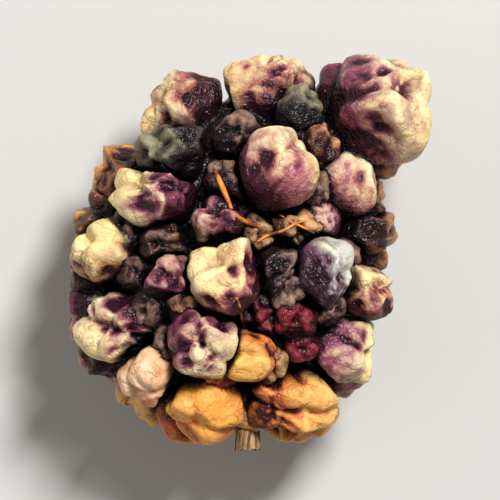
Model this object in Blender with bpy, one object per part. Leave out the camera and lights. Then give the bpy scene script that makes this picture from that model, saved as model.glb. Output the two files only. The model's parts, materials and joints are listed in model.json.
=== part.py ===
"""A dried black mulberry, lying on its side.

The fruit is one solid: a core with some sixty drupelets fused to it. The stalk is a short dried stub that
stands in a plain hole in the base of the fruit.

Metres, +Z up. +Y points to the tip of the fruit, -Y to the stalk. The origin is under the middle of the part,
on the surface that it lies on.
"""

import math
import random
from collections import namedtuple

import bmesh
import bpy
from mathutils import Matrix, Vector

MM = 0.001

# The form of the whole fruit, measured to the tips of the drupelets.
HALF_WIDTH = 7.4 * MM
HALF_HEIGHT = 6.1 * MM
AXIS_HEIGHT = 5.9 * MM
WIDEST_Y = -2.0 * MM
TIP_Y = 8.9 * MM
BASE_Y = -8.9 * MM
TIP_LEAN = 1.0 * MM

# The core lies this far inside that form, and the roots end deeper still.
CORE_DEPTH = 2.3 * MM
ROOT_DEPTH = 3.6 * MM
CORE_DETAIL = 2

# The drupelets on the side that shows, in millimetres as seen from above, each with its x and y, its size
# across and along the fruit, its turn in degrees, how far it stands out, and its number of folds.
SHOWN_DRUPELETS = [
    (2.0, 7.6, 4.8, 2.8, -4, 0.1, 3),
    (3.2, 6.1, 2.2, 2.0, 0, -0.1, 2),
    (-1.9, 6.2, 4.1, 3.0, 28, 0.1, 3),
    (0.2, 5.3, 2.3, 2.2, 0, -0.9, 2),
    (-2.6, 4.2, 3.5, 2.4, 10, -0.1, 3),
    (-0.2, 3.3, 2.3, 2.3, 0, -1.2, 2),
    (1.9, 3.3, 3.4, 3.8, 12, 0.5, 2),
    (3.9, 4.8, 2.4, 2.4, 20, -0.3, 3),
    (4.8, 3.0, 2.6, 3.6, 42, 0.1, 2),
    (-5.2, 3.7, 2.9, 2.8, -20, 0.0, 2),
    (-3.1, 2.2, 4.5, 2.7, -6, 0.2, 4),
    (-6.0, 1.6, 2.7, 3.0, -12, 0.0, 2),
    (-0.6, 1.2, 2.6, 2.4, 20, -0.7, 3),
    (1.2, 0.8, 2.2, 2.0, 0, -1.4, 2),
    (3.1, 1.1, 2.5, 2.1, -25, -1.1, 3),
    (-3.2, 0.4, 2.4, 1.9, 0, -1.0, 2),
    (-5.2, -0.1, 2.8, 2.7, 10, 0.3, 3),
    (-6.8, -0.6, 3.1, 2.8, 20, 0.1, 3),
    (-2.8, -1.2, 2.3, 2.2, 15, -0.6, 3),
    (-0.2, -1.1, 3.6, 3.4, -30, 0.3, 3),
    (2.2, -0.8, 2.4, 2.0, 25, -0.9, 2),
    (4.0, -1.0, 2.7, 3.0, 20, 0.2, 2),
    (6.1, 2.5, 2.4, 2.6, 0, 0.1, 2),
    (5.6, 0.6, 3.0, 3.0, 0, 0.2, 3),
    (5.7, -1.8, 2.6, 2.5, 0, 0.2, 2),
    (-4.6, -3.2, 4.5, 2.9, -16, 0.2, 4),
    (-6.9, -2.8, 2.8, 3.2, -15, 0.0, 2),
    (-1.0, -4.0, 3.1, 2.9, -35, 0.3, 3),
    (1.7, -3.1, 2.4, 2.3, 30, -1.5, 2),
    (3.1, -3.1, 2.0, 2.0, 10, -0.9, 2),
    (4.9, -4.2, 3.2, 3.0, 15, 0.2, 3),
    (-3.4, -5.3, 2.7, 2.6, 0, 0.1, 3),
    (-5.9, -4.9, 3.0, 2.7, 10, 0.0, 3),
    (0.8, -4.9, 2.2, 2.0, 0, -1.2, 2),
    (-1.1, -6.4, 3.8, 2.9, -25, 0.4, 3),
    (2.5, -6.0, 4.8, 2.8, -10, 0.4, 4),
    (-1.8, -7.8, 3.3, 2.4, -20, 0.0, 3),
    (3.2, -7.7, 3.8, 2.4, -12, 0.5, 3),
]

# The plump drupelet that stands out from the shoulder near the tip, and two under it that carry it. Each has
# its middle in millimetres, the direction that it points in, its size across and along, and its folds.
SHOULDER_DRUPELETS = [
    ((6.8, 6.4, 7.3), (0.45, 0.35, 0.82), 4.8, 4.7, 4),
    ((6.0, 4.6, 5.7), (0.92, 0.25, 0.05), 3.4, 3.2, 3),
    ((5.2, 6.5, 4.6), (0.70, 0.60, -0.40), 3.4, 3.2, 3),
]

# The drupelet that the fruit rests on, under its middle.
RESTING_X = 0.2 * MM
RESTING_Y = -0.9 * MM
RESTING_SIZE = 3.6 * MM
RESTING_FOLDS = 3

# The drupelets of the hidden sides are spread evenly between the others.
SEED = 5
SPREAD_PLACES = 78
SPREAD_DEPTH = 1.5 * MM
SPREAD_STEPS = 60
SPACING = 3.2 * MM
CLEAR_OF_OTHERS = 2.2 * MM
HIDDEN_BELOW_Z = 7.6 * MM
HIDDEN_ACROSS = (3.2 * MM, 4.0 * MM)
HIDDEN_ALONG = (2.8 * MM, 3.5 * MM)
HIDDEN_LIFT = (-0.3 * MM, 0.3 * MM)
HIDDEN_TURN = 35
HIDDEN_FOLDS = (2, 3, 3, 4)

# One drupelet has a sunken tip, rings of points round it from there to below its widest part, and one point
# at its root. Its folds run down from the tip and fade out.
SIDES_PER_FOLD = {2: 4, 3: 3, 4: 3}
STOUTNESS = 0.55
TIP_SINK = 0.28
RING_ANGLES = (28, 54, 84, 118)
FOLD_DEPTHS = (0.18, 0.16, 0.10, 0.04)

# The side that the fruit lies on was pressed flat as it dried.
PRESSED_WITHIN = 0.8 * MM
PRESSED_DEPTH = 0.35 * MM
BOX_SIZE = 30 * MM

# The stalk's stub and its hole.
STALK_X = 0.8 * MM
STALK_Z = 6.4 * MM
STALK_INNER_Y = -5.0 * MM
STALK_OUTER_Y = -8.8 * MM
STALK_RADII = (0.55 * MM, 0.55 * MM, 0.5 * MM, 0.48 * MM, 0.52 * MM, 0.6 * MM)
STALK_BEND = 0.2 * MM
STALK_SIDES = 9
HOLE_RADIUS = 0.9 * MM
HOLE_END_Y = -4.7 * MM
HOLE_MOUTH_Y = -11.0 * MM
HOLE_SIDES = 12

# The shoulder widens the part to one side, and this brings the middle of its box over the origin.
TO_ORIGIN = Vector((-0.9, 0.1, 0.0)) * MM

FRUIT_COLOUR = (0.10, 0.045, 0.06, 1.0)
STALK_COLOUR = (0.30, 0.17, 0.08, 1.0)

Drupelet = namedtuple("Drupelet", "middle out across along turn folds sink", defaults=[TIP_SINK])


def clear_scene():
    for item in list(bpy.data.objects):
        bpy.data.objects.remove(item, do_unlink=True)


def plain_material(name, colour, roughness):
    material = bpy.data.materials.new(name)
    material.use_nodes = True
    shader = material.node_tree.nodes["Principled BSDF"]
    shader.inputs["Base Color"].default_value = colour
    shader.inputs["Roughness"].default_value = roughness
    shader.inputs["Metallic"].default_value = 0.0
    return material


# The fruit's form: two half ellipsoids that meet where it is widest, leaning a little towards +X at the tip.

def middle_x(y):
    rise = max(0.0, (y - WIDEST_Y) / (TIP_Y - WIDEST_Y))
    return TIP_LEAN * rise * rise


def form_radii(y, depth):
    end_y = TIP_Y if y > WIDEST_Y else BASE_Y
    return Vector((HALF_WIDTH - depth, abs(end_y - WIDEST_Y) - depth, HALF_HEIGHT - depth))


def from_middle(point):
    return Vector((point.x - middle_x(point.y), point.y - WIDEST_Y, point.z - AXIS_HEIGHT))


def on_form(point, depth):
    """The place at that depth in the form which lies in the same direction as the point."""
    radii = form_radii(point.y, depth)
    local = from_middle(point)
    local /= Vector((local.x / radii.x, local.y / radii.y, local.z / radii.z)).length
    y = local.y + WIDEST_Y
    return Vector((local.x + middle_x(y), y, local.z + AXIS_HEIGHT))


def straight_out(point):
    radii = form_radii(point.y, SPREAD_DEPTH)
    local = from_middle(point)
    return Vector((local.x / radii.x ** 2, local.y / radii.y ** 2, local.z / radii.z ** 2)).normalized()


def seen_from_above(x, y, depth, side=1):
    """The place at that depth, on the form's upper or lower side, which a view from above shows at x and y.

    A place past the form's edge moves in to the edge, half way up the form.
    """
    radii = form_radii(y, depth)
    reach = Vector(((x - middle_x(y)) / radii.x, (y - WIDEST_Y) / radii.y))
    if reach.length > 1:
        reach.normalize()
    rise = math.sqrt(max(0.0, 1 - reach.length_squared))
    edge_y = WIDEST_Y + reach.y * radii.y
    return Vector((middle_x(edge_y) + reach.x * radii.x, edge_y, AXIS_HEIGHT + side * radii.z * rise))


# The places and sizes of the drupelets.

def tallness(across, along):
    """Half of a drupelet's size in its own outward direction."""
    return STOUTNESS * (across + along) / 2


def shown_drupelets():
    drupelets = []
    for x, y, across, along, turn, lift, folds in SHOWN_DRUPELETS:
        across *= MM
        along *= MM
        middle = seen_from_above(x * MM, y * MM, tallness(across, along))
        out = straight_out(middle)
        drupelets.append(Drupelet(middle + out * lift * MM, out, across, along, turn, folds))
    return drupelets


def shoulder_drupelets():
    drupelets = []
    for middle, out, across, along, folds in SHOULDER_DRUPELETS:
        middle = Vector(middle) * MM
        out = Vector(out).normalized()
        drupelets.append(Drupelet(middle, out, across * MM, along * MM, 0, folds))
    return drupelets


def resting_drupelet():
    middle = seen_from_above(RESTING_X, RESTING_Y, tallness(RESTING_SIZE, RESTING_SIZE), side=-1)
    return Drupelet(middle, straight_out(middle), RESTING_SIZE, RESTING_SIZE, 0, RESTING_FOLDS)


def spread_places(taken):
    """Places on the hidden sides, even in all directions, then pushed apart and away from the taken ones."""
    golden_angle = math.pi * (3 - math.sqrt(5))
    places = []
    for number in range(SPREAD_PLACES):
        along = 1 - 2 * (number + 0.5) / SPREAD_PLACES
        radius = math.sqrt(1 - along * along)
        turn = number * golden_angle
        start = Vector((radius * math.cos(turn), along, radius * math.sin(turn))) * MM
        place = on_form(start + Vector((0, WIDEST_Y, AXIS_HEIGHT)), SPREAD_DEPTH)
        clear = all((place - other).length > CLEAR_OF_OTHERS for other in taken)
        if clear and place.z < HIDDEN_BELOW_Z:
            places.append(place)
    for _ in range(SPREAD_STEPS):
        for number, place in enumerate(places):
            push = Vector()
            for other in taken + places[:number] + places[number + 1:]:
                apart = place - other
                if apart.length < SPACING:
                    push += apart.normalized() * (SPACING - apart.length) / 2
            places[number] = on_form(place + push, SPREAD_DEPTH)
    return places


def hidden_drupelets(others):
    draw = random.Random(SEED)
    stalk_place = Vector((STALK_X, BASE_Y, STALK_Z))
    taken = [on_form(place, SPREAD_DEPTH) for place in [other.middle for other in others] + [stalk_place]]
    drupelets = []
    for place in spread_places(taken):
        across = draw.uniform(*HIDDEN_ACROSS)
        along = draw.uniform(*HIDDEN_ALONG)
        middle = on_form(place, tallness(across, along))
        out = straight_out(middle)
        middle += out * draw.uniform(*HIDDEN_LIFT)
        turn = draw.uniform(-HIDDEN_TURN, HIDDEN_TURN)
        drupelets.append(Drupelet(middle, out, across, along, turn, draw.choice(HIDDEN_FOLDS)))
    return drupelets


def drupelet_axes(drupelet):
    """The directions across, along and out of a drupelet, as the columns of a matrix."""
    tilt = Vector((0, 0, 1)).rotation_difference(drupelet.out).to_matrix()
    return tilt @ Matrix.Rotation(math.radians(drupelet.turn), 3, "Z")


def reach_down(drupelet):
    """How far a drupelet's head reaches below its own middle."""
    down = drupelet_axes(drupelet)[2]
    tall = tallness(drupelet.across, drupelet.along)
    return Vector((down[0] * drupelet.across / 2, down[1] * drupelet.along / 2, down[2] * tall)).length


def press_flat(drupelet):
    """Lower a drupelet that comes near the surface, so that its tip is pressed flat against it."""
    bottom = drupelet.middle.z - reach_down(drupelet)
    if bottom > PRESSED_WITHIN:
        return drupelet
    lowered = drupelet.middle - Vector((0, 0, bottom + PRESSED_DEPTH))
    return drupelet._replace(middle=lowered, sink=0.0)


def all_drupelets():
    placed = shown_drupelets() + shoulder_drupelets() + [resting_drupelet()]
    return [press_flat(drupelet) for drupelet in placed + hidden_drupelets(placed)]


# The solids.

def add_object(name, bm, collection):
    mesh = bpy.data.meshes.new(name)
    bm.to_mesh(mesh)
    bm.free()
    made = bpy.data.objects.new(name, mesh)
    collection.objects.link(made)
    return made


def ring_of_points(bm, drupelet, polar, fold_depth):
    tall = tallness(drupelet.across, drupelet.along)
    axes = drupelet_axes(drupelet)
    per_fold = SIDES_PER_FOLD[drupelet.folds]
    ring = []
    for side in range(drupelet.folds * per_fold):
        turn = math.tau * side / (drupelet.folds * per_fold)
        folded = 1 - fold_depth if side % per_fold == 0 else 1
        sideways = math.sin(polar) * folded
        from_head = Vector((
            sideways * math.cos(turn) * drupelet.across / 2,
            sideways * math.sin(turn) * drupelet.along / 2,
            math.cos(polar) * folded * tall,
        ))
        ring.append(bm.verts.new(drupelet.middle + axes @ from_head))
    return ring


def add_drupelet(drupelet, number, collection):
    bm = bmesh.new()
    rings = []
    for angle, fold_depth in zip(RING_ANGLES, FOLD_DEPTHS):
        rings.append(ring_of_points(bm, drupelet, math.radians(angle), fold_depth))
    tall = tallness(drupelet.across, drupelet.along)
    tip = bm.verts.new(drupelet.middle + drupelet.out * tall * (1 - drupelet.sink))
    root = bm.verts.new(on_form(drupelet.middle, ROOT_DEPTH))
    sides = len(rings[0])
    for side in range(sides):
        after = (side + 1) % sides
        bm.faces.new((tip, rings[0][side], rings[0][after]))
        for upper, lower in zip(rings, rings[1:]):
            bm.faces.new((upper[side], lower[side], lower[after], upper[after]))
        bm.faces.new((root, rings[-1][after], rings[-1][side]))
    bmesh.ops.triangulate(bm, faces=bm.faces)
    add_object(f"drupelet_{number}", bm, collection)


def add_core():
    bm = bmesh.new()
    bmesh.ops.create_icosphere(bm, subdivisions=CORE_DETAIL, radius=MM)
    for vert in bm.verts:
        vert.co = on_form(vert.co + Vector((0, WIDEST_Y, AXIS_HEIGHT)), CORE_DEPTH)
    return add_object("fruit", bm, bpy.context.scene.collection)


def fuse(target, collection):
    """Union of the target and everything in the collection, whose objects are then removed."""
    modifier = target.modifiers.new("fuse", "BOOLEAN")
    modifier.operation = "UNION"
    modifier.solver = "MANIFOLD"
    modifier.operand_type = "COLLECTION"
    modifier.collection = collection
    bpy.context.view_layer.objects.active = target
    bpy.ops.object.modifier_apply(modifier=modifier.name)
    for item in list(collection.objects):
        bpy.data.objects.remove(item, do_unlink=True)
    bpy.data.collections.remove(collection)


def cut_away(target, cutter):
    modifier = target.modifiers.new("cut", "BOOLEAN")
    modifier.operation = "DIFFERENCE"
    modifier.object = cutter
    bpy.context.view_layer.objects.active = target
    bpy.ops.object.modifier_apply(modifier=modifier.name)
    bpy.data.objects.remove(cutter, do_unlink=True)


def keep_main_skin(mesh):
    """Delete what fusing leaves apart from the main skin: loose scraps, and the walls of sealed hollows."""
    bm = bmesh.new()
    bm.from_mesh(mesh)
    unseen = set(bm.verts)
    skins = []
    while unseen:
        front = [unseen.pop()]
        skin = set(front)
        while front:
            for edge in front.pop().link_edges:
                joined = set(edge.verts) & unseen
                unseen -= joined
                skin |= joined
                front.extend(joined)
        skins.append(skin)
    main_skin = max(skins, key=len)
    bmesh.ops.delete(bm, geom=[vert for vert in bm.verts if vert not in main_skin], context="VERTS")
    bm.to_mesh(mesh)
    bm.free()


def make_fruit():
    collection = bpy.data.collections.new("drupelets")
    bpy.context.scene.collection.children.link(collection)
    for number, drupelet in enumerate(all_drupelets()):
        add_drupelet(drupelet, number, collection)
    fruit = add_core()
    fuse(fruit, collection)
    bpy.ops.mesh.primitive_cube_add(size=BOX_SIZE, location=(0, 0, -BOX_SIZE / 2))
    cut_away(fruit, bpy.context.object)
    bpy.ops.mesh.primitive_cylinder_add(
        vertices=HOLE_SIDES,
        radius=HOLE_RADIUS,
        depth=HOLE_END_Y - HOLE_MOUTH_Y,
        location=(STALK_X, (HOLE_END_Y + HOLE_MOUTH_Y) / 2, STALK_Z),
        rotation=(math.pi / 2, 0, 0),
    )
    cut_away(fruit, bpy.context.object)
    keep_main_skin(fruit.data)
    fruit.data.materials.clear()
    fruit.data.materials.append(plain_material("dried_fruit", FRUIT_COLOUR, roughness=0.6))
    fruit.location = TO_ORIGIN


def make_stalk():
    """A round stub with a slight bend, thicker again at its broken end."""
    bm = bmesh.new()
    rings = []
    for number, radius in enumerate(STALK_RADII):
        share = number / (len(STALK_RADII) - 1)
        y = STALK_INNER_Y + (STALK_OUTER_Y - STALK_INNER_Y) * share
        ring = []
        for side in range(STALK_SIDES):
            turn = math.tau * side / STALK_SIDES
            x = STALK_X + radius * math.cos(turn)
            z = STALK_Z + STALK_BEND * share * share + radius * math.sin(turn)
            ring.append(bm.verts.new((x, y, z)))
        rings.append(ring)
    for inner, outer in zip(rings, rings[1:]):
        for side in range(STALK_SIDES):
            after = (side + 1) % STALK_SIDES
            bm.faces.new((inner[side], inner[after], outer[after], outer[side]))
    bm.faces.new(rings[0])
    bm.faces.new(rings[-1])
    bmesh.ops.recalc_face_normals(bm, faces=bm.faces)
    stalk = add_object("stalk", bm, bpy.context.scene.collection)
    stalk.data.materials.append(plain_material("dried_stalk", STALK_COLOUR, roughness=0.75))
    stalk.location = TO_ORIGIN


clear_scene()
make_fruit()
make_stalk()
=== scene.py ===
# %% [markdown]
# # A dried black mulberry
#
# A mulberry is a multiple fruit: some sixty small drupelets crowd on one fleshy middle. As it dries, each
# drupelet shrinks into a puckered knob. Its folds turn cream where they stand out, and the juice dries
# purple-black between them. The skin's colour also holds a painted highlight on the raised folds and tips
# and painted shade in the gaps. This lesson gives the plain imported solid that finish: a finely folded
# skin, a fibrous stalk, and the thin dry threads that are left of the flowers.

# %% Load the imported model
import json
import math
import random
from collections import namedtuple

import bpy
import numpy as np
from mathutils import Matrix, Vector, noise
from mathutils.bvhtree import BVHTree
from mathutils.kdtree import KDTree

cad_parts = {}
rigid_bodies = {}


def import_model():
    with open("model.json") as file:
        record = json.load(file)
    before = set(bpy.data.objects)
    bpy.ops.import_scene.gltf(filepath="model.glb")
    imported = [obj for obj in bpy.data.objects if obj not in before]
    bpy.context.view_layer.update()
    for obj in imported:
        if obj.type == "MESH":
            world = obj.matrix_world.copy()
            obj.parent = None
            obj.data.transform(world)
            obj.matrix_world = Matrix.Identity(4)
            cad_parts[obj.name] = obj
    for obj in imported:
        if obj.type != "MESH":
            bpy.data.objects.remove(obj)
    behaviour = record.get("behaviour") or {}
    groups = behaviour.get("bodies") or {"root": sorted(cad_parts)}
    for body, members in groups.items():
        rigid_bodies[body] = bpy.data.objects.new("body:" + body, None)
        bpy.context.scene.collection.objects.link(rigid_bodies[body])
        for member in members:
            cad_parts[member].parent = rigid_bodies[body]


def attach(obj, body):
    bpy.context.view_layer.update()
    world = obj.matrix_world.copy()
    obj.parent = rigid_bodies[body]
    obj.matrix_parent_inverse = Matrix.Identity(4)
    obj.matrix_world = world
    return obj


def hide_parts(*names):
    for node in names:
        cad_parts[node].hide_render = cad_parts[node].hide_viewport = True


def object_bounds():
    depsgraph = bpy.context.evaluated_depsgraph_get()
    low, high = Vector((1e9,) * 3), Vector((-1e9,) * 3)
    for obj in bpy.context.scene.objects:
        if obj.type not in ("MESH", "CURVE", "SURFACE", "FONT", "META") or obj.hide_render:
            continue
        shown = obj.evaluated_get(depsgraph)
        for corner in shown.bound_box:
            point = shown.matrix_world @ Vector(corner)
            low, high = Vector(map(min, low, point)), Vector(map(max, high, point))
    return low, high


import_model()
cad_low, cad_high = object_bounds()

MM = 0.001
part_middle = (cad_low + cad_high) / 2
print("box of the packed model, mm:", [round(side / MM, 2) for side in cad_high - cad_low])

# %% [markdown]
# ## Camera
#
# The berry lies on its side and is seen from straight above, with its tip at the top of the picture. A
# long lens from some way off keeps the drupelets at the rim as large as those in the middle.

# %% Camera
LENS = 640
CAMERA_HEIGHT = 400 * MM
SENSOR = 36
CLIP_START = 5 * MM

bpy.ops.object.camera_add(location=(part_middle.x, part_middle.y, CAMERA_HEIGHT), rotation=(0, 0, 0))
camera = bpy.context.object
camera.name = "camera"
camera.data.lens = LENS
camera.data.sensor_width = SENSOR
camera.data.clip_start = CLIP_START
bpy.context.scene.camera = camera
print("the picture is", round(CAMERA_HEIGHT * SENSOR / LENS / MM, 1), "mm wide at the floor")

# %% [markdown]
# ## Floor and light
#
# A plain pale floor, one large soft light from the upper right and a weaker one from the left. The soft
# fill from all round keeps the gaps between the drupelets dark but not lost.

# %% Floor
FLOOR_SIZE = 1.6
FLOOR_COLOUR = (0.58, 0.57, 0.55, 1.0)
FLOOR_ROUGHNESS = 0.7

bpy.ops.mesh.primitive_plane_add(size=FLOOR_SIZE, location=(0, 0, 0))
floor = bpy.context.object
floor.name = "floor"
floor_finish = bpy.data.materials.new("pale_floor")
floor_finish.use_nodes = True
floor_shader = floor_finish.node_tree.nodes["Principled BSDF"]
floor_shader.inputs["Base Color"].default_value = FLOOR_COLOUR
floor_shader.inputs["Roughness"].default_value = FLOOR_ROUGHNESS
floor.data.materials.append(floor_finish)

# %% Lights
SKY_COLOUR = (1.0, 0.98, 0.95, 1.0)
SKY_STRENGTH = 0.20


def add_soft_light(name, place, size, power):
    """A square area light that faces the middle of the berry."""
    facing = (Vector(place) * MM - part_middle).to_track_quat("Z", "Y").to_euler()
    bpy.ops.object.light_add(type="AREA", location=Vector(place) * MM, rotation=facing)
    light = bpy.context.object
    light.name = name
    light.data.size = size * MM
    light.data.energy = power
    return light


add_soft_light("key_light", place=(80, 120, 235), size=60, power=0.95)
add_soft_light("side_light", place=(-190, -20, 130), size=160, power=0.10)

world = bpy.data.worlds.new("studio")
world.use_nodes = True
sky = world.node_tree.nodes["Background"]
sky.inputs["Color"].default_value = SKY_COLOUR
sky.inputs["Strength"].default_value = SKY_STRENGTH
bpy.context.scene.world = world
bpy.context.scene.view_settings.view_transform = "Standard"

# %% [markdown]
# ## The form of the fruit
#
# The whole fruit is an egg on its side: two half ellipsoids that meet where it is widest. Every drupelet
# reaches from inside this form to its surface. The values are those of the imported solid, so that the fine
# skin lies where the solid does.

# %% The form
HALF_WIDTH = 7.4 * MM
HALF_HEIGHT = 6.1 * MM
AXIS_HEIGHT = 5.9 * MM
WIDEST_Y = -2.0 * MM
TIP_Y = 8.9 * MM
BASE_Y = -8.9 * MM
TIP_LEAN = 1.0 * MM
CORE_DEPTH = 2.3 * MM
ROOT_DEPTH = 3.6 * MM
SPREAD_DEPTH = 1.5 * MM
STOUTNESS = 0.55
TO_ORIGIN = Vector((-0.9, 0.1, 0.0)) * MM
FORM_MIDDLE = Vector((0, WIDEST_Y, AXIS_HEIGHT))


def middle_x(y):
    rise = max(0.0, (y - WIDEST_Y) / (TIP_Y - WIDEST_Y))
    return TIP_LEAN * rise * rise


def form_radii(y, depth):
    end_y = TIP_Y if y > WIDEST_Y else BASE_Y
    return Vector((HALF_WIDTH - depth, abs(end_y - WIDEST_Y) - depth, HALF_HEIGHT - depth))


def from_middle(point):
    return Vector((point.x - middle_x(point.y), point.y - WIDEST_Y, point.z - AXIS_HEIGHT))


def divided(place, size):
    return Vector((place.x / size.x, place.y / size.y, place.z / size.z))


def on_form(point, depth):
    """The place at that depth in the form which lies in the same direction as the point."""
    local = from_middle(point)
    local /= divided(local, form_radii(point.y, depth)).length
    y = local.y + WIDEST_Y
    return Vector((local.x + middle_x(y), y, local.z + AXIS_HEIGHT))


def straight_out(point):
    radii = form_radii(point.y, SPREAD_DEPTH)
    local = from_middle(point)
    return Vector((local.x / radii.x ** 2, local.y / radii.y ** 2, local.z / radii.z ** 2)).normalized()


def seen_from_above(x, y, depth, side=1):
    """The place at that depth, on the upper or lower side, that a view from above shows at x and y."""
    radii = form_radii(y, depth)
    reach = Vector(((x - middle_x(y)) / radii.x, (y - WIDEST_Y) / radii.y))
    if reach.length > 1:
        reach.normalize()
    rise = math.sqrt(max(0.0, 1 - reach.length_squared))
    edge_y = WIDEST_Y + reach.y * radii.y
    return Vector((middle_x(edge_y) + reach.x * radii.x, edge_y, AXIS_HEIGHT + side * radii.z * rise))


print("form, mm:", 2 * HALF_WIDTH / MM, "wide and", (TIP_Y - BASE_Y) / MM, "long")

# %% [markdown]
# ## The drupelets that show
#
# On the real berry no two drupelets are alike, and the eye notices the large ones, so those on the upper
# side have places and sizes of their own, read off the picture as real sizes in millimetres. Each also has
# a tone, the side on which it has dried pale, as an angle from the right of the picture, and how pale it
# is, from -1 to 1.

# %% Drupelets on the upper side
# x, y, size across, size along, turn, stand, folds, tone, pale side, how pale
SHOWN_DRUPELETS = [
    (2.0, 7.6, 4.8, 2.8, -4, 0.1, 3, "cream", 110, 0.1),
    (3.2, 6.1, 2.2, 2.0, 100, -0.1, 3, "grey", 90, -0.2),
    (-1.9, 6.2, 4.1, 3.0, 28, 0.1, 3, "cream", 170, 0.05),
    (0.2, 5.3, 2.3, 2.2, 0, -0.9, 2, "dark", 60, -0.6),
    (-2.6, 4.2, 3.5, 2.4, 10, -0.1, 3, "grey", 150, -0.15),
    (-0.2, 3.3, 2.3, 2.3, 0, -1.2, 2, "dark", 90, -0.6),
    (1.9, 3.3, 3.4, 3.8, 200, 0.5, 2, "bloomed", 50, -0.1),
    (3.9, 4.8, 2.4, 2.4, 20, -0.3, 3, "tan", 60, -0.25),
    (4.8, 3.0, 2.6, 3.6, 42, 0.1, 2, "bloomed", 125, 0.15),
    (-5.2, 3.7, 2.9, 2.8, -20, 0.0, 2, "ochre", 180, -0.2),
    (-3.1, 2.2, 4.5, 2.7, -6, 0.2, 4, "plum", 178, 0.1),
    (-6.0, 1.7, 2.7, 3.2, -12, 0.0, 2, "tan", 160, -0.05),
    (-0.6, 1.2, 2.6, 2.4, 20, -0.7, 3, "mauve", 200, -0.45),
    (1.2, 0.8, 2.2, 2.0, 0, -1.4, 2, "tan", 0, -0.1),
    (3.1, 1.1, 2.5, 2.1, -25, -1.1, 3, "tan", 30, -0.15),
    (-3.2, 0.4, 2.4, 1.9, 0, -1.0, 2, "dark", 0, -0.6),
    (-5.2, -0.1, 2.8, 2.7, 10, 0.3, 3, "ivory", 80, 0.5),
    (-6.8, -0.6, 3.1, 2.8, 20, 0.1, 3, "cream", 180, -0.5),
    (-2.8, -1.2, 2.3, 2.2, 15, -0.6, 3, "mauve", 90, -0.55),
    (-0.2, -1.1, 3.6, 3.4, -30, 0.3, 3, "cream", 150, 0.1),
    (2.2, -0.8, 2.4, 2.0, 25, -0.9, 2, "dark", 20, -0.75),
    (4.0, -1.0, 2.7, 3.0, 20, 0.2, 2, "frost", 50, -0.05),
    (6.1, 2.5, 2.4, 2.6, 0, 0.1, 2, "tan", 30, -0.2),
    (5.6, 0.6, 3.0, 3.0, 0, 0.2, 3, "tan", 0, -0.35),
    (5.7, -1.8, 2.6, 2.5, 0, 0.2, 2, "cream", 110, -0.35),
    (-4.6, -3.2, 4.5, 2.9, -16, 0.2, 4, "plum", 225, 0.25),
    (-6.9, -2.8, 2.8, 3.2, -15, 0.0, 2, "mauve", 180, -0.3),
    (-1.0, -4.0, 3.1, 2.9, -35, 0.3, 3, "plum", 310, -0.05),
    (1.7, -3.1, 2.4, 2.3, 30, -1.5, 2, "crimson", 0, 0.1),
    (3.1, -3.1, 2.0, 2.0, 60, -0.9, 2, "crimson", 120, -0.5),
    (4.9, -4.2, 3.2, 3.0, 15, 0.2, 3, "plum", 350, 0.6),
    (-3.4, -5.3, 2.7, 2.6, 0, 0.1, 3, "peach", 100, 0.45),
    (-5.9, -4.9, 3.0, 2.7, 10, 0.0, 3, "cream", 200, -0.5),
    (0.8, -4.8, 2.5, 2.2, 0, -0.6, 2, "honey", 200, 0.45),
    (-1.1, -6.4, 3.8, 2.9, -25, 0.4, 3, "golden", 80, 0.5),
    (2.5, -6.0, 4.8, 2.8, -10, 0.4, 4, "honey", 10, 0.1),
    (-1.8, -7.8, 3.3, 2.4, -20, 0.0, 3, "golden", 270, 0.1),
    (3.2, -7.7, 3.8, 2.4, -12, 0.5, 3, "honey", 280, 0.1),
]
# middle, direction, size across, size along, folds, tone, pale side, how pale
SHOULDER_DRUPELETS = [
    ((6.8, 6.4, 7.3), (0.45, 0.35, 0.82), 4.8, 4.7, 4, "plum", 0, 0.22),
    ((6.0, 4.6, 5.7), (0.92, 0.25, 0.05), 3.4, 3.2, 3, "ochre", 0, 0.1),
    ((5.2, 6.5, 4.6), (0.70, 0.60, -0.40), 3.4, 3.2, 3, "mauve", 45, -0.1),
]
RESTING_X = 0.2 * MM
RESTING_Y = -0.9 * MM
RESTING_SIZE = 3.6 * MM
RESTING_FOLDS = 3
RESTING_LOOK = ("mauve", 0, -0.1)

Drupelet = namedtuple("Drupelet", "middle out across along turn folds tone pale_side how_pale")


def tallness(across, along):
    """Half of a drupelet's size in its own outward direction."""
    return STOUTNESS * (across + along) / 2


def shown_drupelets():
    drupelets = []
    for x, y, across, along, turn, stand, folds, *look in SHOWN_DRUPELETS:
        across *= MM
        along *= MM
        middle = seen_from_above(x * MM, y * MM, tallness(across, along))
        out = straight_out(middle)
        middle += out * stand * MM
        drupelets.append(Drupelet(middle, out, across, along, turn, folds, *look))
    return drupelets


def shoulder_drupelets():
    drupelets = []
    for middle, out, across, along, folds, *look in SHOULDER_DRUPELETS:
        middle = Vector(middle) * MM
        out = Vector(out).normalized()
        drupelets.append(Drupelet(middle, out, across * MM, along * MM, 0, folds, *look))
    return drupelets


def resting_drupelet():
    middle = seen_from_above(RESTING_X, RESTING_Y, tallness(RESTING_SIZE, RESTING_SIZE), side=-1)
    out = straight_out(middle)
    return Drupelet(middle, out, RESTING_SIZE, RESTING_SIZE, 0, RESTING_FOLDS, *RESTING_LOOK)


placed = shown_drupelets() + shoulder_drupelets() + [resting_drupelet()]
print("drupelets with places of their own:", len(placed))

# %% [markdown]
# ## The drupelets all round
#
# The picture doesn't show the sides and the underside, and they need the same crowd of drupelets. A rule
# fills them: places at the golden angle, as seeds sit in a flower head, leave no rows, and then each place
# is pushed away from its neighbours until they are evenly apart. The draws are seeded, so the same berry
# comes out each time.

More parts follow.
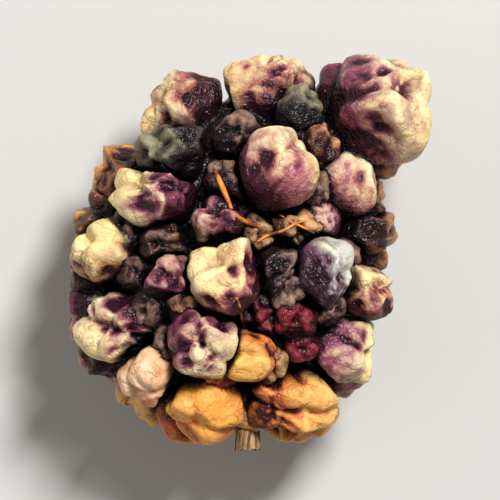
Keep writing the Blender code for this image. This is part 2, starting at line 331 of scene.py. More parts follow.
# %% Drupelets on the hidden sides
SEED = 5
GOLDEN_ANGLE = math.pi * (3 - math.sqrt(5))
SPREAD_PLACES = 78
SPREAD_STEPS = 60
SPACING = 3.2 * MM
CLEAR_OF_OTHERS = 2.2 * MM
HIDDEN_BELOW_Z = 7.6 * MM
HIDDEN_ACROSS = (3.2 * MM, 4.0 * MM)
HIDDEN_ALONG = (2.8 * MM, 3.5 * MM)
HIDDEN_LIFT = (-0.3 * MM, 0.3 * MM)
HIDDEN_TURN = 35
HIDDEN_FOLDS = (2, 3, 3, 4)
STALK_X = 0.8 * MM
STALK_Z = 6.4 * MM
HIDDEN_TONES = ("dark", "dark", "mauve", "cream", "tan", "ivory", "grey")
BASE_TONES = ("golden", "peach", "ochre", "tan", "mauve")
BASE_TONES_BELOW_Y = -5.0 * MM
HIDDEN_PALE = (-0.65, 0.1)
BASE_PALE = (0.1, 0.6)


def evenly_around(count, depth):
    """So many places at that depth in the form, at the golden angle from one to the next."""
    places = []
    for number in range(count):
        along = 1 - 2 * (number + 0.5) / count
        radius = math.sqrt(1 - along * along)
        turn = number * GOLDEN_ANGLE
        start = Vector((radius * math.cos(turn), along, radius * math.sin(turn))) * MM
        places.append(on_form(start + FORM_MIDDLE, depth))
    return places


def spread_places(taken):
    """Places on the hidden sides, pushed apart and away from the taken ones."""
    places = []
    for place in evenly_around(SPREAD_PLACES, SPREAD_DEPTH):
        clear = all((place - other).length > CLEAR_OF_OTHERS for other in taken)
        if clear and place.z < HIDDEN_BELOW_Z:
            places.append(place)
    for _ in range(SPREAD_STEPS):
        for number, place in enumerate(places):
            push = Vector()
            for other in taken + places[:number] + places[number + 1:]:
                apart = place - other
                if apart.length < SPACING:
                    push += apart.normalized() * (SPACING - apart.length) / 2
            places[number] = on_form(place + push, SPREAD_DEPTH)
    return places


def hidden_drupelets(others):
    draw = random.Random(SEED)
    tone_draw = random.Random(SEED + 1)
    stalk_place = Vector((STALK_X, BASE_Y, STALK_Z))
    taken = [other.middle for other in others] + [stalk_place]
    taken = [on_form(place, SPREAD_DEPTH) for place in taken]
    drupelets = []
    for place in spread_places(taken):
        across = draw.uniform(*HIDDEN_ACROSS)
        along = draw.uniform(*HIDDEN_ALONG)
        middle = on_form(place, tallness(across, along))
        out = straight_out(middle)
        middle += out * draw.uniform(*HIDDEN_LIFT)
        turn = draw.uniform(-HIDDEN_TURN, HIDDEN_TURN)
        folds = draw.choice(HIDDEN_FOLDS)
        at_base = middle.y < BASE_TONES_BELOW_Y
        tone = tone_draw.choice(BASE_TONES if at_base else HIDDEN_TONES)
        how_pale = tone_draw.uniform(*(BASE_PALE if at_base else HIDDEN_PALE))
        look = (tone, tone_draw.uniform(0, 360), how_pale)
        drupelets.append(Drupelet(middle, out, across, along, turn, folds, *look))
    return drupelets


def drupelet_axes(drupelet):
    """The directions across, along and out of a drupelet, as the columns of a matrix."""
    tilt = Vector((0, 0, 1)).rotation_difference(drupelet.out).to_matrix()
    return tilt @ Matrix.Rotation(math.radians(drupelet.turn), 3, "Z")


drupelets = placed + hidden_drupelets(placed)
print("drupelets in all:", len(drupelets))

# %% [markdown]
# ## Pressed underneath
#
# A berry dries lying on a tray, and its own weight presses the drupelets underneath flat. Those that come
# near the floor are lowered to reach a little below it, and what lies below the floor is later cut away
# level.

# %% Press the underside
PRESSED_WITHIN = 0.8 * MM
PRESSED_DEPTH = 0.35 * MM


def press_flat(drupelet):
    down = drupelet_axes(drupelet)[2]
    tall = tallness(drupelet.across, drupelet.along)
    reach = Vector((down[0] * drupelet.across / 2, down[1] * drupelet.along / 2, down[2] * tall)).length
    bottom = drupelet.middle.z - reach
    if bottom > PRESSED_WITHIN:
        return drupelet
    return drupelet._replace(middle=drupelet.middle - Vector((0, 0, bottom + PRESSED_DEPTH)))


pressed = [press_flat(drupelet) for drupelet in drupelets]
print("pressed flat:", sum(before is not after for before, after in zip(drupelets, pressed)))
drupelets = pressed

# %% [markdown]
# ## One drupelet
#
# A drupelet is a small seed in two to four fleshy lobes. Dried, the lobes fold in along the lines where
# they meet, and the tip sinks to a pit. One drupelet of a millimetre's radius is modelled for each number
# of folds: a ball, whose fold lines are scaled in and whose tip is pushed down, both with a soft falloff,
# as one would by hand.

# %% Model drupelets
FOLD_NUMBERS = (2, 3, 4)
SEGMENTS = 55
RINGS = 32
FOLD_SCALE = 0.82
FOLD_FALLOFF = 0.42 * MM
FOLD_HALF_ANGLE = math.radians(3)
FOLD_ENDS_BELOW = -0.15 * MM
PIT_DEPTH = 0.22 * MM
PIT_FALLOFF = 0.32 * MM
PIT_RADIUS = 0.10 * MM


def select_points(item, wanted):
    """Selects just the points for whose place wanted(place) is true, and stays in object mode."""
    bpy.ops.object.mode_set(mode="EDIT")
    bpy.ops.mesh.select_mode(type="VERT")
    bpy.ops.mesh.select_all(action="DESELECT")
    bpy.ops.object.mode_set(mode="OBJECT")
    for vert in item.data.vertices:
        vert.select = bool(wanted(vert.co))


def on_fold(place, line):
    """Whether a point of the ball is on the fold line that runs down from the tip in that direction."""
    if place.z < FOLD_ENDS_BELOW or place.xy.length < PIT_RADIUS:
        return False
    return place.xy.normalized().dot(line) > math.cos(FOLD_HALF_ANGLE)


def model_drupelet(folds, segments=SEGMENTS, rings=RINGS):
    bpy.ops.object.select_all(action="DESELECT")
    bpy.ops.mesh.primitive_uv_sphere_add(segments=segments, ring_count=rings, radius=MM)
    model = bpy.context.object
    model.name = f"model_drupelet_{folds}"
    for fold in range(folds):
        angle = math.tau * fold / folds
        line = Vector((math.cos(angle), math.sin(angle)))
        select_points(model, lambda place: on_fold(place, line))
        bpy.ops.object.mode_set(mode="EDIT")
        bpy.ops.transform.resize(
            value=(FOLD_SCALE, FOLD_SCALE, FOLD_SCALE),
            center_override=(0, 0, 0),
            use_proportional_edit=True,
            proportional_edit_falloff="SHARP",
            proportional_size=FOLD_FALLOFF,
        )
        bpy.ops.object.mode_set(mode="OBJECT")
    select_points(model, lambda place: place.z > 0 and place.xy.length < PIT_RADIUS)
    bpy.ops.object.mode_set(mode="EDIT")
    bpy.ops.transform.translate(
        value=(0, 0, -PIT_DEPTH),
        use_proportional_edit=True,
        proportional_edit_falloff="SMOOTH",
        proportional_size=PIT_FALLOFF,
    )
    bpy.ops.object.mode_set(mode="OBJECT")
    return model


def print_heights(name, mesh):
    heights = [vert.co.z / MM for vert in mesh.vertices]
    print(f"{name}: {len(heights)} points, z from {min(heights):.3f} to {max(heights):.3f} mm")


models = {folds: model_drupelet(folds) for folds in FOLD_NUMBERS}
for folds, model in models.items():
    print_heights(f"{folds} folds", model.data)

# %% [markdown]
# ## Tones
#
# Ripe juice stains the flesh purple-black, and where a fold stands out and dries first it stays cream.
# Raised folds also get a painted highlight, and hollows painted shade.
# Towards the stalk the flesh is golden, as it ripens last there. Each tone below has a pale colour, one in
# between and a dark one. Its last number says how shrunken such flesh is, because unripe
# golden flesh shrinks less.

# %% Tones
Tone = namedtuple("Tone", "pale between dark shrunken")
TONES = {
    "cream": Tone((250, 228, 174), (162, 92, 86), (52, 13, 24), 1.0),
    "bloomed": Tone((252, 233, 180), (168, 100, 102), (52, 13, 28), 0.25),
    "plum": Tone((252, 231, 180), (148, 80, 96), (50, 11, 30), 0.85),
    "ivory": Tone((246, 224, 168), (188, 136, 90), (62, 28, 24), 0.7),
    "golden": Tone((244, 172, 82), (210, 108, 38), (102, 34, 14), 0.55),
    "honey": Tone((246, 194, 112), (210, 114, 48), (74, 22, 26), 0.6),
    "peach": Tone((246, 204, 162), (214, 126, 76), (94, 32, 28), 0.6),
    "ochre": Tone((230, 178, 100), (156, 92, 50), (50, 19, 20), 0.9),
    "tan": Tone((202, 158, 106), (106, 64, 44), (38, 15, 14), 1.2),
    "mauve": Tone((230, 188, 172), (128, 58, 76), (46, 11, 25), 0.9),
    "dark": Tone((152, 122, 104), (56, 29, 34), (20, 7, 10), 1.1),
    "grey": Tone((150, 144, 116), (72, 62, 56), (22, 14, 15), 1.0),
    "frost": Tone((210, 212, 200), (104, 76, 88), (36, 11, 22), 0.5),
    "crimson": Tone((144, 50, 60), (94, 10, 28), (40, 4, 11), 1.1),
}


def linear_share(share):
    """The usual curve that turns a stored brightness into an amount of light."""
    return share / 12.92 if share <= 0.04045 else ((share + 0.055) / 1.055) ** 2.4


def linear(colour):
    """A colour as the shader wants it, from the usual 0 to 255 values."""
    return [linear_share(value / 255) for value in colour] + [1.0]


print("tones:", ", ".join(TONES))

# %% [markdown]
# ## Puckers
#
# Drupelets press flats on each other as they swell, so a ripe one is more a rounded crystal than a ball.
# Then the skin dries over flesh that shrinks, and gets broad hollows with rounded ridges between them,
# creases that gather towards the tip, and a fine crinkle. The pale side stays plump and the dark side
# shrinks most. Sculpting all this sixty times would take days, so seeded noise moves the points in or out
# instead, differently on each drupelet. All heights and depths below are shares of the drupelet's radius.

# %% Pucker a point
# how high or deep
PLUMPED = 0.16
LUMPS = 0.18
HOLLOWS = 0.24
CRESTS = 0.07
CREASES = 0.08
FINE_CREASES = 0.05
GRAIN = 0.010
SKIN_FOLD_DEPTH = 0.09
# how wide
HOLLOW_WIDTH = 0.75
CREST_WIDTH = 0.24
EDGE_WIDTH = 0.10
SKIN_FOLD_WIDTH = 0.07
# how close together
LUMP_PITCH = 1.1
HOLLOW_PITCH = 1.6
CREASE_PITCH = 2.1
FINE_CREASE_PITCH = 4.6
GRAIN_PITCH = 15
CREASES_GATHERED = 0.45
CREASE_SHARPNESS = 2.4
CREST_SHARPNESS = 1.5
# how far the noise leads hollows, creases and folds astray
DRIFT_PITCH = 1.8
DRIFT = 0.35
CREASE_DRIFT = 1.2
FINE_CREASE_DRIFT = 2
SKIN_FOLD_DRIFT = 0.12
# where on the drupelet
SKIN_FOLDS = 2
SKIN_FOLD_PLACE = (0.25, 0.8)
PUCKERS_FROM = -0.35
PUCKERS_OVER = 0.8
FLAT_FACES = 0.3
PLUMP_SMOOTHS = 0.6
Shape = namedtuple("Shape", "own flats skin_folds detail shrunken plumped")
Skin = namedtuple("Skin", "reach crest edge")


def crease(place):
    """1 on the lines where the noise is nil, and falling off on either side of them."""
    return 1 - min(1, abs(noise.noise(place)) * CREASE_SHARPNESS)


def any_direction(draw):
    return Vector([draw.gauss(0, 1) for _ in range(3)]).normalized()


def skin_folds(draw):
    """Where the skin folds over: a direction, and how far along it the fold runs round the drupelet."""
    return [(any_direction(draw), draw.uniform(*SKIN_FOLD_PLACE)) for _ in range(SKIN_FOLDS)]


def smooth_step(low, high, value):
    """0 at low, 1 at high, and smooth in between."""
    share = max(0.0, min(1.0, (value - low) / (high - low)))
    return share * share * (3 - 2 * share)


def press(reach, edge, limit):
    """Presses the skin in to a flat, with a rounded edge, and says how much of an edge there is."""
    overlap = max(EDGE_WIDTH - abs(reach - limit), 0) / EDGE_WIDTH
    edge *= 1 - smooth_step(-EDGE_WIDTH, EDGE_WIDTH, reach - limit)
    return min(reach, limit) - overlap * overlap * EDGE_WIDTH / 4, max(edge, overlap)


def pucker(direction, ball, shape, plump):
    """How far out the skin lies, where the plain ball has 1, and how much of a crest and an edge it has."""
    own, detail = shape.own, shape.detail
    shown = max(0, min(1, (direction.z - PUCKERS_FROM) / PUCKERS_OVER))
    shrinks = shape.shrunken * (1 - PLUMP_SMOOTHS * plump) * shown
    drift = noise.noise_vector(direction * DRIFT_PITCH + own) * DRIFT
    reach = 1 + shape.plumped + LUMPS * noise.noise(direction * LUMP_PITCH + own)
    edge = 0
    for faces, distance in shape.flats:
        towards = ball.dot(faces)
        if towards > FLAT_FACES * distance:
            reach, edge = press(reach, edge, distance / towards)
    nearest, second = noise.voronoi(direction * HOLLOW_PITCH * detail + drift + own)[0][:2]
    hollow = 1 - smooth_step(0, HOLLOW_WIDTH, nearest)
    crest = max(0, 1 - (second - nearest) / CREST_WIDTH) ** CREST_SHARPNESS
    reach += (CRESTS * crest - HOLLOWS * hollow) * shrinks
    for axis, offset in shape.skin_folds:
        away = (direction.dot(axis) + SKIN_FOLD_DRIFT * drift.x - offset) / SKIN_FOLD_WIDTH
        reach -= SKIN_FOLD_DEPTH * math.exp(-away * away) * shown
    gathered = Vector((direction.x, direction.y, direction.z * CREASES_GATHERED)) * detail
    broad = crease(gathered * CREASE_PITCH + drift * CREASE_DRIFT + own)
    fine = crease(gathered * FINE_CREASE_PITCH + drift * FINE_CREASE_DRIFT - own)
    reach -= CREASES * broad ** 2 * shrinks
    reach -= FINE_CREASES * fine ** 2 * shrinks
    reach += GRAIN * noise.noise(direction * GRAIN_PITCH * detail + own)
    return Skin(reach, (crest - hollow) * (1 - plump), edge * shown)


SAMPLE_FLATS = 8
SAMPLE_FLAT_REACH = 0.9
SAMPLES = 200

noise.seed_set(SEED)
sample_draw = random.Random(SEED)
sample_flats = [(any_direction(sample_draw), SAMPLE_FLAT_REACH) for _ in range(SAMPLE_FLATS)]
sample = Shape(Vector(), sample_flats, skin_folds(sample_draw), 1, 1, PLUMPED)
sample_places = [any_direction(sample_draw) for _ in range(SAMPLES)]
reaches = [pucker(place, place, sample, 0).reach for place in sample_places]
print("skin lies at", round(min(reaches), 2), "to", round(max(reaches), 2), "of the plain ball")

# %% [markdown]
# ## Every drupelet in its place
#
# Each drupelet is a copy of a model with a mesh of its own. Its points are puckered, stretched to the
# drupelet's size, turned its way and moved to its place, and below its waist they draw together to a root
# in the middle of the fruit. A neighbour presses its flat where the two meet, less a gap that differs from
# pair to pair. Small drupelets pucker less than large ones, and plump flesh keeps rounder. The paleness of
# each point is kept with it, as are the drupelet's three colours, because once the drupelets are
# grown together they can't be told apart. That paleness is partly the dried colour and partly painted
# light:
# a painted highlight on the tip and on raised folds and edges, and painted shade on the sides and in
# hollows.

# %% Keep values with the points
def keep_with_points(mesh, name, values):
    """Stores one number, or one colour, for each point."""
    kind = "FLOAT_COLOR" if len(values[0]) == 4 else "FLOAT"
    layer = mesh.attributes.new(name, kind, "POINT")
    layer.data.foreach_set("color" if kind == "FLOAT_COLOR" else "value", np.ravel(values))


def keep_colours(mesh, tone, pale_values):
    keep_with_points(mesh, "grown", [(1.0,)] * len(mesh.vertices))
    keep_with_points(mesh, "pale", [(value,) for value in pale_values])
    for part in ("pale", "between", "dark"):
        keep_with_points(mesh, f"tone_{part}", [linear(getattr(tone, part))] * len(mesh.vertices))


print("kept with each point: how pale, and the colours", ", ".join(Tone._fields[:3]))

# %% Flats where neighbours meet
PRESSING_WITHIN = 5.5 * MM
NEIGHBOUR_GAP = 0.12 * MM
GAP_SWING = 0.5 * MM
LEAST_FLAT = 0.68


def size_of(drupelet):
    return Vector((drupelet.across / 2, drupelet.along / 2, tallness(drupelet.across, drupelet.along)))


def reach_towards(drupelet, way):
    """How far the plain ball of a drupelet reaches in a direction."""
    local = drupelet_axes(drupelet).transposed() @ way
    return 1 / divided(local, size_of(drupelet)).length


def flats_from_neighbours(drupelet):
    """For each neighbour, the direction that it lies in and how far off it presses its flat."""
    flats = []
    for other in drupelets:
        apart = other.middle - drupelet.middle
        if 0 < apart.length < PRESSING_WITHIN:
            way = apart.normalized()
            own, its = reach_towards(drupelet, way), reach_towards(other, way)
            gap = NEIGHBOUR_GAP + GAP_SWING * noise.noise((drupelet.middle + other.middle) / MM)
            met = apart.length * own / (own + its) - gap / 2
            flats.append((way, max(met, LEAST_FLAT * own)))
    return flats


print("neighbours of the first drupelet:", len(flats_from_neighbours(drupelets[0])))

# %% What is drawn by lot for each drupelet
TIP_ASTRAY = math.radians(38)
TIP_ASTRAY_SHARE = (0.2, 1)
USUAL_SIZE = 3.2 * MM
FULLY_PUCKERED = 3.0 * MM
OWN_STEP = Vector((7.3, 3.1, 5.7))
OWN_FLATS = 5
OWN_FLAT_REACH = (0.80, 1.0)
CAP_REACH = 1.02
ROUND_BELOW = 0.5
ROUND_LIFT = 0.2
# The large drupelet on the shoulder is a rounded block, with a ridge across it and folds on its right.
SHOULDER_NUMBER = len(SHOWN_DRUPELETS)
SHOULDER_FLATS = [
    ((-0.40, 0.75, 0.70), 0.84),
    ((-0.45, -0.75, 0.60), 0.82),
    ((0.80, 0.0, 0.60), 0.90),
    ((1.0, -0.3, -0.3), 1.0),
    ((-1.0, 0.2, 0.1), 0.90),
    ((0.3, 1.0, 0.1), 0.92),
]
SHOULDER_FOLDS = [
    (Vector((0.95, 0.0, 0.3)).normalized(), 0.66),
    (Vector((0.85, 0.35, 0.4)).normalized(), 0.88),
]


def lean(draw):
    """The tip of a drupelet is seldom in its middle: a turn that leans it over, its own for each."""
    way = draw.uniform(0, math.tau)
    angle = draw.uniform(*TIP_ASTRAY_SHARE) * TIP_ASTRAY
    return Matrix.Rotation(angle, 3, Vector((math.cos(way), math.sin(way), 0)))


def shape_of(number, drupelet):
    """The lean of one drupelet, and its flats, folds and hollows."""
    draw = random.Random(number)
    leaned = lean(draw)
    width = (drupelet.across + drupelet.along) / 2
    detail = math.sqrt(width / USUAL_SIZE)
    shrunken = TONES[drupelet.tone].shrunken
    rounded = max(0, 1 - shrunken / ROUND_BELOW)
    shrunken *= min(1, width / FULLY_PUCKERED)
    if number == SHOULDER_NUMBER:
        leaned = Matrix.Identity(3)
        flats = [(Vector(faces).normalized(), share) for faces, share in SHOULDER_FLATS]
        folds = SHOULDER_FOLDS
    else:
        flats = [(any_direction(draw), draw.uniform(*OWN_FLAT_REACH)) for _ in range(OWN_FLATS)]
        flats.append((drupelet.out, CAP_REACH))
        folds = skin_folds(draw)
    lift = ROUND_LIFT * rounded
    flats = [(faces, (share + lift) * reach_towards(drupelet, faces)) for faces, share in flats]
    flats += flats_from_neighbours(drupelet)
    plumped = PLUMPED * (1 - rounded)
    return leaned, Shape(OWN_STEP * (number + 1), flats, folds, detail, shrunken, plumped)


print("flats of the first drupelet:", len(shape_of(0, drupelets[0])[1].flats))

# %% Copy the models to their places
FOLDS_BY_SHRINKING = 1.6
ROOT_FROM = -0.15
PALE_SIDE_SHARE = 0.95
# painted highlight and shade: the tip of each drupelet is made paler and its sides darker
PAINTED_TIP_HIGHLIGHT_SIDE_SHADE = 0.55
TIP_FROM = 0.5
PALE_BLOTCHES = 0.60
PALE_BLOTCH_PITCH = 1.7
# partly dried colour, partly painted light: crests and flat edges paler as a painted highlight, hollows
# darker as painted shade
CREST_PALE_AND_PAINTED_LIGHT = 0.40
EDGE_PALE_AND_HIGHLIGHT = 0.85
PLUMP_PALE = (-0.1, 0.8)


def stretched(place, size):
    return Vector((place.x * size.x, place.y * size.y, place.z * size.z))


def place_drupelet(number, drupelet, models, leaned, shape):
    mesh = models[drupelet.folds].data.copy()
    axes = drupelet_axes(drupelet)
    tilt = Vector((0, 0, 1)).rotation_difference(drupelet.out)
    pale_angle = math.radians(drupelet.pale_side)
    pale_direction = tilt @ Vector((math.cos(pale_angle), math.sin(pale_angle), 0))
    size = size_of(drupelet)
    root = on_form(drupelet.middle, ROOT_DEPTH)
    fold_share = min(1, FOLDS_BY_SHRINKING * shape.shrunken)
    pale_values = []
    for vert in mesh.vertices:
        direction = vert.co.normalized()
        ball = axes @ stretched(leaned @ direction, size)
        pale = drupelet.how_pale + PALE_SIDE_SHARE * ball.normalized().dot(pale_direction)
        blotch = noise.noise(direction * PALE_BLOTCH_PITCH - shape.own)
        pale += PAINTED_TIP_HIGHLIGHT_SIDE_SHADE * (direction.z - TIP_FROM) + PALE_BLOTCHES * blotch
        skin = pucker(direction, ball, shape, smooth_step(*PLUMP_PALE, pale))
        folded_in = (1 - vert.co.length / MM) * fold_share
        place = drupelet.middle + ball * skin.reach * (1 - folded_in)
        vert.co = place.lerp(root, smooth_step(ROOT_FROM, -1, (leaned @ direction).z)) + TO_ORIGIN
        pale_values.append(pale + CREST_PALE_AND_PAINTED_LIGHT * skin.crest + EDGE_PALE_AND_HIGHLIGHT * skin.edge)
    keep_colours(mesh, TONES[drupelet.tone], pale_values)
    return bpy.data.objects.new(f"drupelet_{number:02d}", mesh)


crowd = bpy.data.collections.new("drupelets")
bpy.context.scene.collection.children.link(crowd)
for number, drupelet in enumerate(drupelets):
    crowd.objects.link(place_drupelet(number, drupelet, models, *shape_of(number, drupelet)))

# %% [markdown]
# ## Stunted drupelets
#
# Where a flower wasn't pollinated the drupelet stays a small hard nub, sunk between its neighbours. They
# fill the gaps that full drupelets leave, so the inner flesh seldom shows. The rule tries places evenly
# all over the fruit and takes those that lie outside every drupelet. Their models have fewer points, as
# fits their size.

# %% Nubs in the gaps
NUB_TRIES = 420
NUB_DEPTH = 2.05 * MM
NUB_CLEAR = 1.06
NUB_SPACING = 1.35 * MM
NUB_ACROSS = (1.7 * MM, 2.3 * MM)
NUB_ALONG = (1.5 * MM, 2.0 * MM)
NUB_TONES = ("dark", "tan", "dark", "crimson", "dark", "mauve")
NUB_BASE_TONES = ("golden", "ochre", "tan")
NUB_PALE = (-0.6, 0.0)
NUB_FOLDS = (2, 3)
NUB_SEGMENTS = 36
NUB_RINGS = 22


def is_clear(place):
    """Whether a place lies outside every drupelet."""
    for drupelet in drupelets:
        offset = drupelet_axes(drupelet).transposed() @ (place - drupelet.middle)
        if divided(offset, size_of(drupelet)).length < NUB_CLEAR:
            return False
    return (place - Vector((STALK_X, BASE_Y, STALK_Z))).length > NUB_ACROSS[1]


nub_draw = random.Random(SEED + 3)
nub_models = {folds: model_drupelet(folds, NUB_SEGMENTS, NUB_RINGS) for folds in NUB_FOLDS}
nubs = []
for place in evenly_around(NUB_TRIES, NUB_DEPTH):
    apart = min([(place - nub.middle).length for nub in nubs], default=1)
    if is_clear(place) and apart > NUB_SPACING:
        nubs.append(Drupelet(
            place,
            straight_out(place),
            nub_draw.uniform(*NUB_ACROSS),
            nub_draw.uniform(*NUB_ALONG),
            nub_draw.uniform(0, 180),
            nub_draw.choice(NUB_FOLDS),
            nub_draw.choice(NUB_BASE_TONES if place.y < BASE_TONES_BELOW_Y else NUB_TONES),
            nub_draw.uniform(0, 360),
            nub_draw.uniform(*NUB_PALE),
        ))
for number, nub in enumerate(nubs, start=len(drupelets)):
    crowd.objects.link(place_drupelet(number, nub, nub_models, *shape_of(number, nub)))
for model in [*models.values(), *nub_models.values()]:
    bpy.data.objects.remove(model, do_unlink=True)
print("stunted drupelets:", len(nubs))

# %% [markdown]
# ## The star at the stalk
#
# Where the stalk goes in, the fruit has a small pale collar, drawn into ribs that run out from the stalk
# like a star. It is modelled as the drupelets are, as a flat ball with many fold lines, and grows into the
# fruit with them.

# %% Collar round the stalk
COLLAR_RIBS = 9
COLLAR_ACROSS = 3.5 * MM
COLLAR_ALONG = 3.0 * MM
COLLAR_TURN = 10
COLLAR_SHRUNKEN = 0.6
COLLAR_LOOK = ("ochre", 90, 0.3)
COLLAR_PLACE = Vector((STALK_X, BASE_Y + 2.5 * MM, STALK_Z - 0.3 * MM))

collar_model = model_drupelet(COLLAR_RIBS)
collar = Drupelet(
    COLLAR_PLACE,
    Vector((0, -1, 0)),
    COLLAR_ACROSS,
    COLLAR_ALONG,
    COLLAR_TURN,
    COLLAR_RIBS,
    *COLLAR_LOOK,
)
collar_shape = Shape(OWN_STEP, [], [], 1, COLLAR_SHRUNKEN, PLUMPED)
number = len(drupelets) + len(nubs)
collar_models = {COLLAR_RIBS: collar_model}
crowd.objects.link(place_drupelet(number, collar, collar_models, Matrix.Identity(3), collar_shape))
bpy.data.objects.remove(collar_model, do_unlink=True)
print("collar reaches y =", round((COLLAR_PLACE.y - tallness(COLLAR_ACROSS, COLLAR_ALONG)) / MM, 2), "mm")

# %% [markdown]
# ## Grown together
#
# The drupelets sit on a fleshy middle, and the whole fruit is one piece. So the middle is modelled as a
# ball drawn to the inner form, and one Boolean union grows everything together. That also leaves the
# narrow dark gaps between neighbours as real gaps. The underside is then cut level where it lay, and the
# stalk's hole is bored.

# %% Grow the fruit together
CORE_DETAIL = 6
CORE_CREASES = 0.5 * MM
CORE_CREASE_PITCH = 5
SMOOTHED = 0.5
FLESH = Tone((120, 60, 60), (60, 28, 34), (18, 10, 14), 1)
FLESH_PALE = -0.6


def read_all(items, name, width, kind=float):
    """One property of all points or edges of a mesh, as the rows of an array."""
    values = np.empty(len(items) * width, dtype=kind)
    items.foreach_get(name, values)
    return values.reshape(-1, width)


def select_only(item):
    bpy.ops.object.select_all(action="DESELECT")
    item.select_set(True)
    bpy.context.view_layer.objects.active = item


def boolean(item, operation, **operand):
    """Adds or takes away another object, or all those of a collection."""
    modifier = item.modifiers.new("boolean", "BOOLEAN")
    modifier.operation = operation
    modifier.solver = "MANIFOLD"
    for name, value in operand.items():
        setattr(modifier, name, value)
    select_only(item)
    bpy.ops.object.modifier_apply(modifier=modifier.name)


bpy.ops.object.select_all(action="DESELECT")
bpy.ops.mesh.primitive_ico_sphere_add(subdivisions=CORE_DETAIL, radius=MM)
skin = bpy.context.object
skin.name = "dried_skin"
for vert in skin.data.vertices:
    depth = CORE_DEPTH + CORE_CREASES * crease(vert.co.normalized() * CORE_CREASE_PITCH)
    vert.co = on_form(vert.co + FORM_MIDDLE, depth) + TO_ORIGIN
keep_colours(skin.data, FLESH, [FLESH_PALE] * len(skin.data.vertices))

boolean(skin, "UNION", operand_type="COLLECTION", collection=crowd)
for item in list(crowd.objects):
    bpy.data.objects.remove(item, do_unlink=True)
bpy.data.collections.remove(crowd)
bpy.ops.object.mode_set(mode="EDIT")
bpy.ops.mesh.select_all(action="SELECT")
bpy.ops.mesh.vertices_smooth(factor=SMOOTHED)
bpy.ops.object.mode_set(mode="OBJECT")
print("grown together:", len(skin.data.polygons), "faces")

# %% Bore the stalk's hole
HOLE_RADIUS = 0.64 * MM
HOLE_END_Y = -4.7 * MM
HOLE_MOUTH_Y = -11.0 * MM
HOLE_SIDES = 32

bpy.ops.object.select_all(action="DESELECT")
bpy.ops.mesh.primitive_cylinder_add(
    vertices=HOLE_SIDES,
    radius=HOLE_RADIUS,
    depth=HOLE_END_Y - HOLE_MOUTH_Y,
    location=Vector((STALK_X, (HOLE_END_Y + HOLE_MOUTH_Y) / 2, STALK_Z)) + TO_ORIGIN,
    rotation=(math.pi / 2, 0, 0),
)
borer = bpy.context.object
bpy.ops.object.transform_apply(location=True, rotation=True, scale=True)
boolean(skin, "DIFFERENCE", object=borer)
bpy.data.objects.remove(borer, do_unlink=True)
print("bored:", len(skin.data.polygons), "faces")

# %% Cut the underside level and keep the outer skin
CUT_TOLERANCE = 1e-7

highest = max(vert.co.z for vert in skin.data.vertices)
select_points(skin, lambda place: place.z == highest)
bpy.ops.object.mode_set(mode="EDIT")
bpy.ops.mesh.select_linked()
bpy.ops.mesh.select_all(action="INVERT")
bpy.ops.mesh.delete(type="VERT")
bpy.ops.mesh.select_all(action="SELECT")
bpy.ops.mesh.bisect(
    plane_co=(0, 0, 0),
    plane_no=(0, 0, 1),
    clear_inner=True,
    use_fill=True,
    threshold=CUT_TOLERANCE,
)
bpy.ops.mesh.select_all(action="SELECT")
bpy.ops.mesh.quads_convert_to_tris()
bpy.ops.mesh.delete_loose()
bpy.ops.object.mode_set(mode="OBJECT")
print_heights(f"skin of {len(skin.data.polygons)} faces", skin.data)

# %% Keep to the size
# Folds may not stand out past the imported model's box: what comes near its sides is drawn in.
NEAR_SIDE = 0.35 * MM
DRAWN_IN = 0.55

places = read_all(skin.data.vertices, "co", 3)
inner_high = np.array(cad_high) - NEAR_SIDE
inner_low = np.array([cad_low.x, cad_low.y, -1]) + NEAR_SIDE
over = np.maximum(places - inner_high, 0)
under = np.maximum(inner_low - places, 0)
places += (under - over) * (1 - DRAWN_IN)
skin.data.vertices.foreach_set("co", places.ravel())
skin.data.update()
print("size, mm:", (places.max(axis=0) - places.min(axis=0)).round(5) / MM)

# %% Colour the seams
# The union adds points along the seams that carry nothing, so each takes over the colours of the nearest
# point. The seams lie deep between the drupelets, so they are made dark as painted shade, with how pale
# they are given here.
PAINTED_SEAM_SHADE = -0.7
GROWN_ABOVE = 0.99

grown = read_all(skin.data.attributes["grown"].data, "value", 1)[:, 0] > GROWN_ABOVE
old_points = np.flatnonzero(grown)
nearby = KDTree(len(old_points))
for index in old_points:
    nearby.insert(skin.data.vertices[index].co, index)
nearby.balance()
source = np.arange(len(grown))
for index in np.flatnonzero(~grown):
    source[index] = nearby.find(skin.data.vertices[index].co)[1]
for name in ("tone_pale", "tone_between", "tone_dark"):
    colours = skin.data.attributes[name].data
    colours.foreach_set("color", read_all(colours, "color", 4)[source].ravel())
pale_values = read_all(skin.data.attributes["pale"].data, "value", 1)
pale_values[~grown] = PAINTED_SEAM_SHADE
skin.data.attributes["pale"].data.foreach_set("value", pale_values.ravel())
skin.data.attributes.remove(skin.data.attributes["grown"])
print("seam points coloured:", int((~grown).sum()))

# %% [markdown]
# ## Ridges and gaps
#
# Raised parts are made paler, partly as the cream of dried folds and partly as a painted highlight, and
# deep gaps are made dark as painted shade. Both are measured on the finished skin. A point is a ridge where
# it stands above the average of the skin around it. It is open where few straight lines from it meet the
# fruit again within a short way, and the less open it is, the more painted shade it gets.

# %% Measure ridges
RIDGE_SPREADS = (3, 12)
RIDGE_SCALE = (0.02 * MM, 0.06 * MM)


def spread_out(values, edges, times):
    """Each point's value replaced by the average of its neighbours', so many times."""
    counts = np.bincount(edges.ravel(), minlength=len(values))[:, None]
    for _ in range(times):
        sums = np.stack([
            np.bincount(edges[:, 0], values[edges[:, 1], axis], len(values))
            + np.bincount(edges[:, 1], values[edges[:, 0], axis], len(values))
            for axis in range(values.shape[1])
        ], axis=1)
        values = sums / counts
    return values


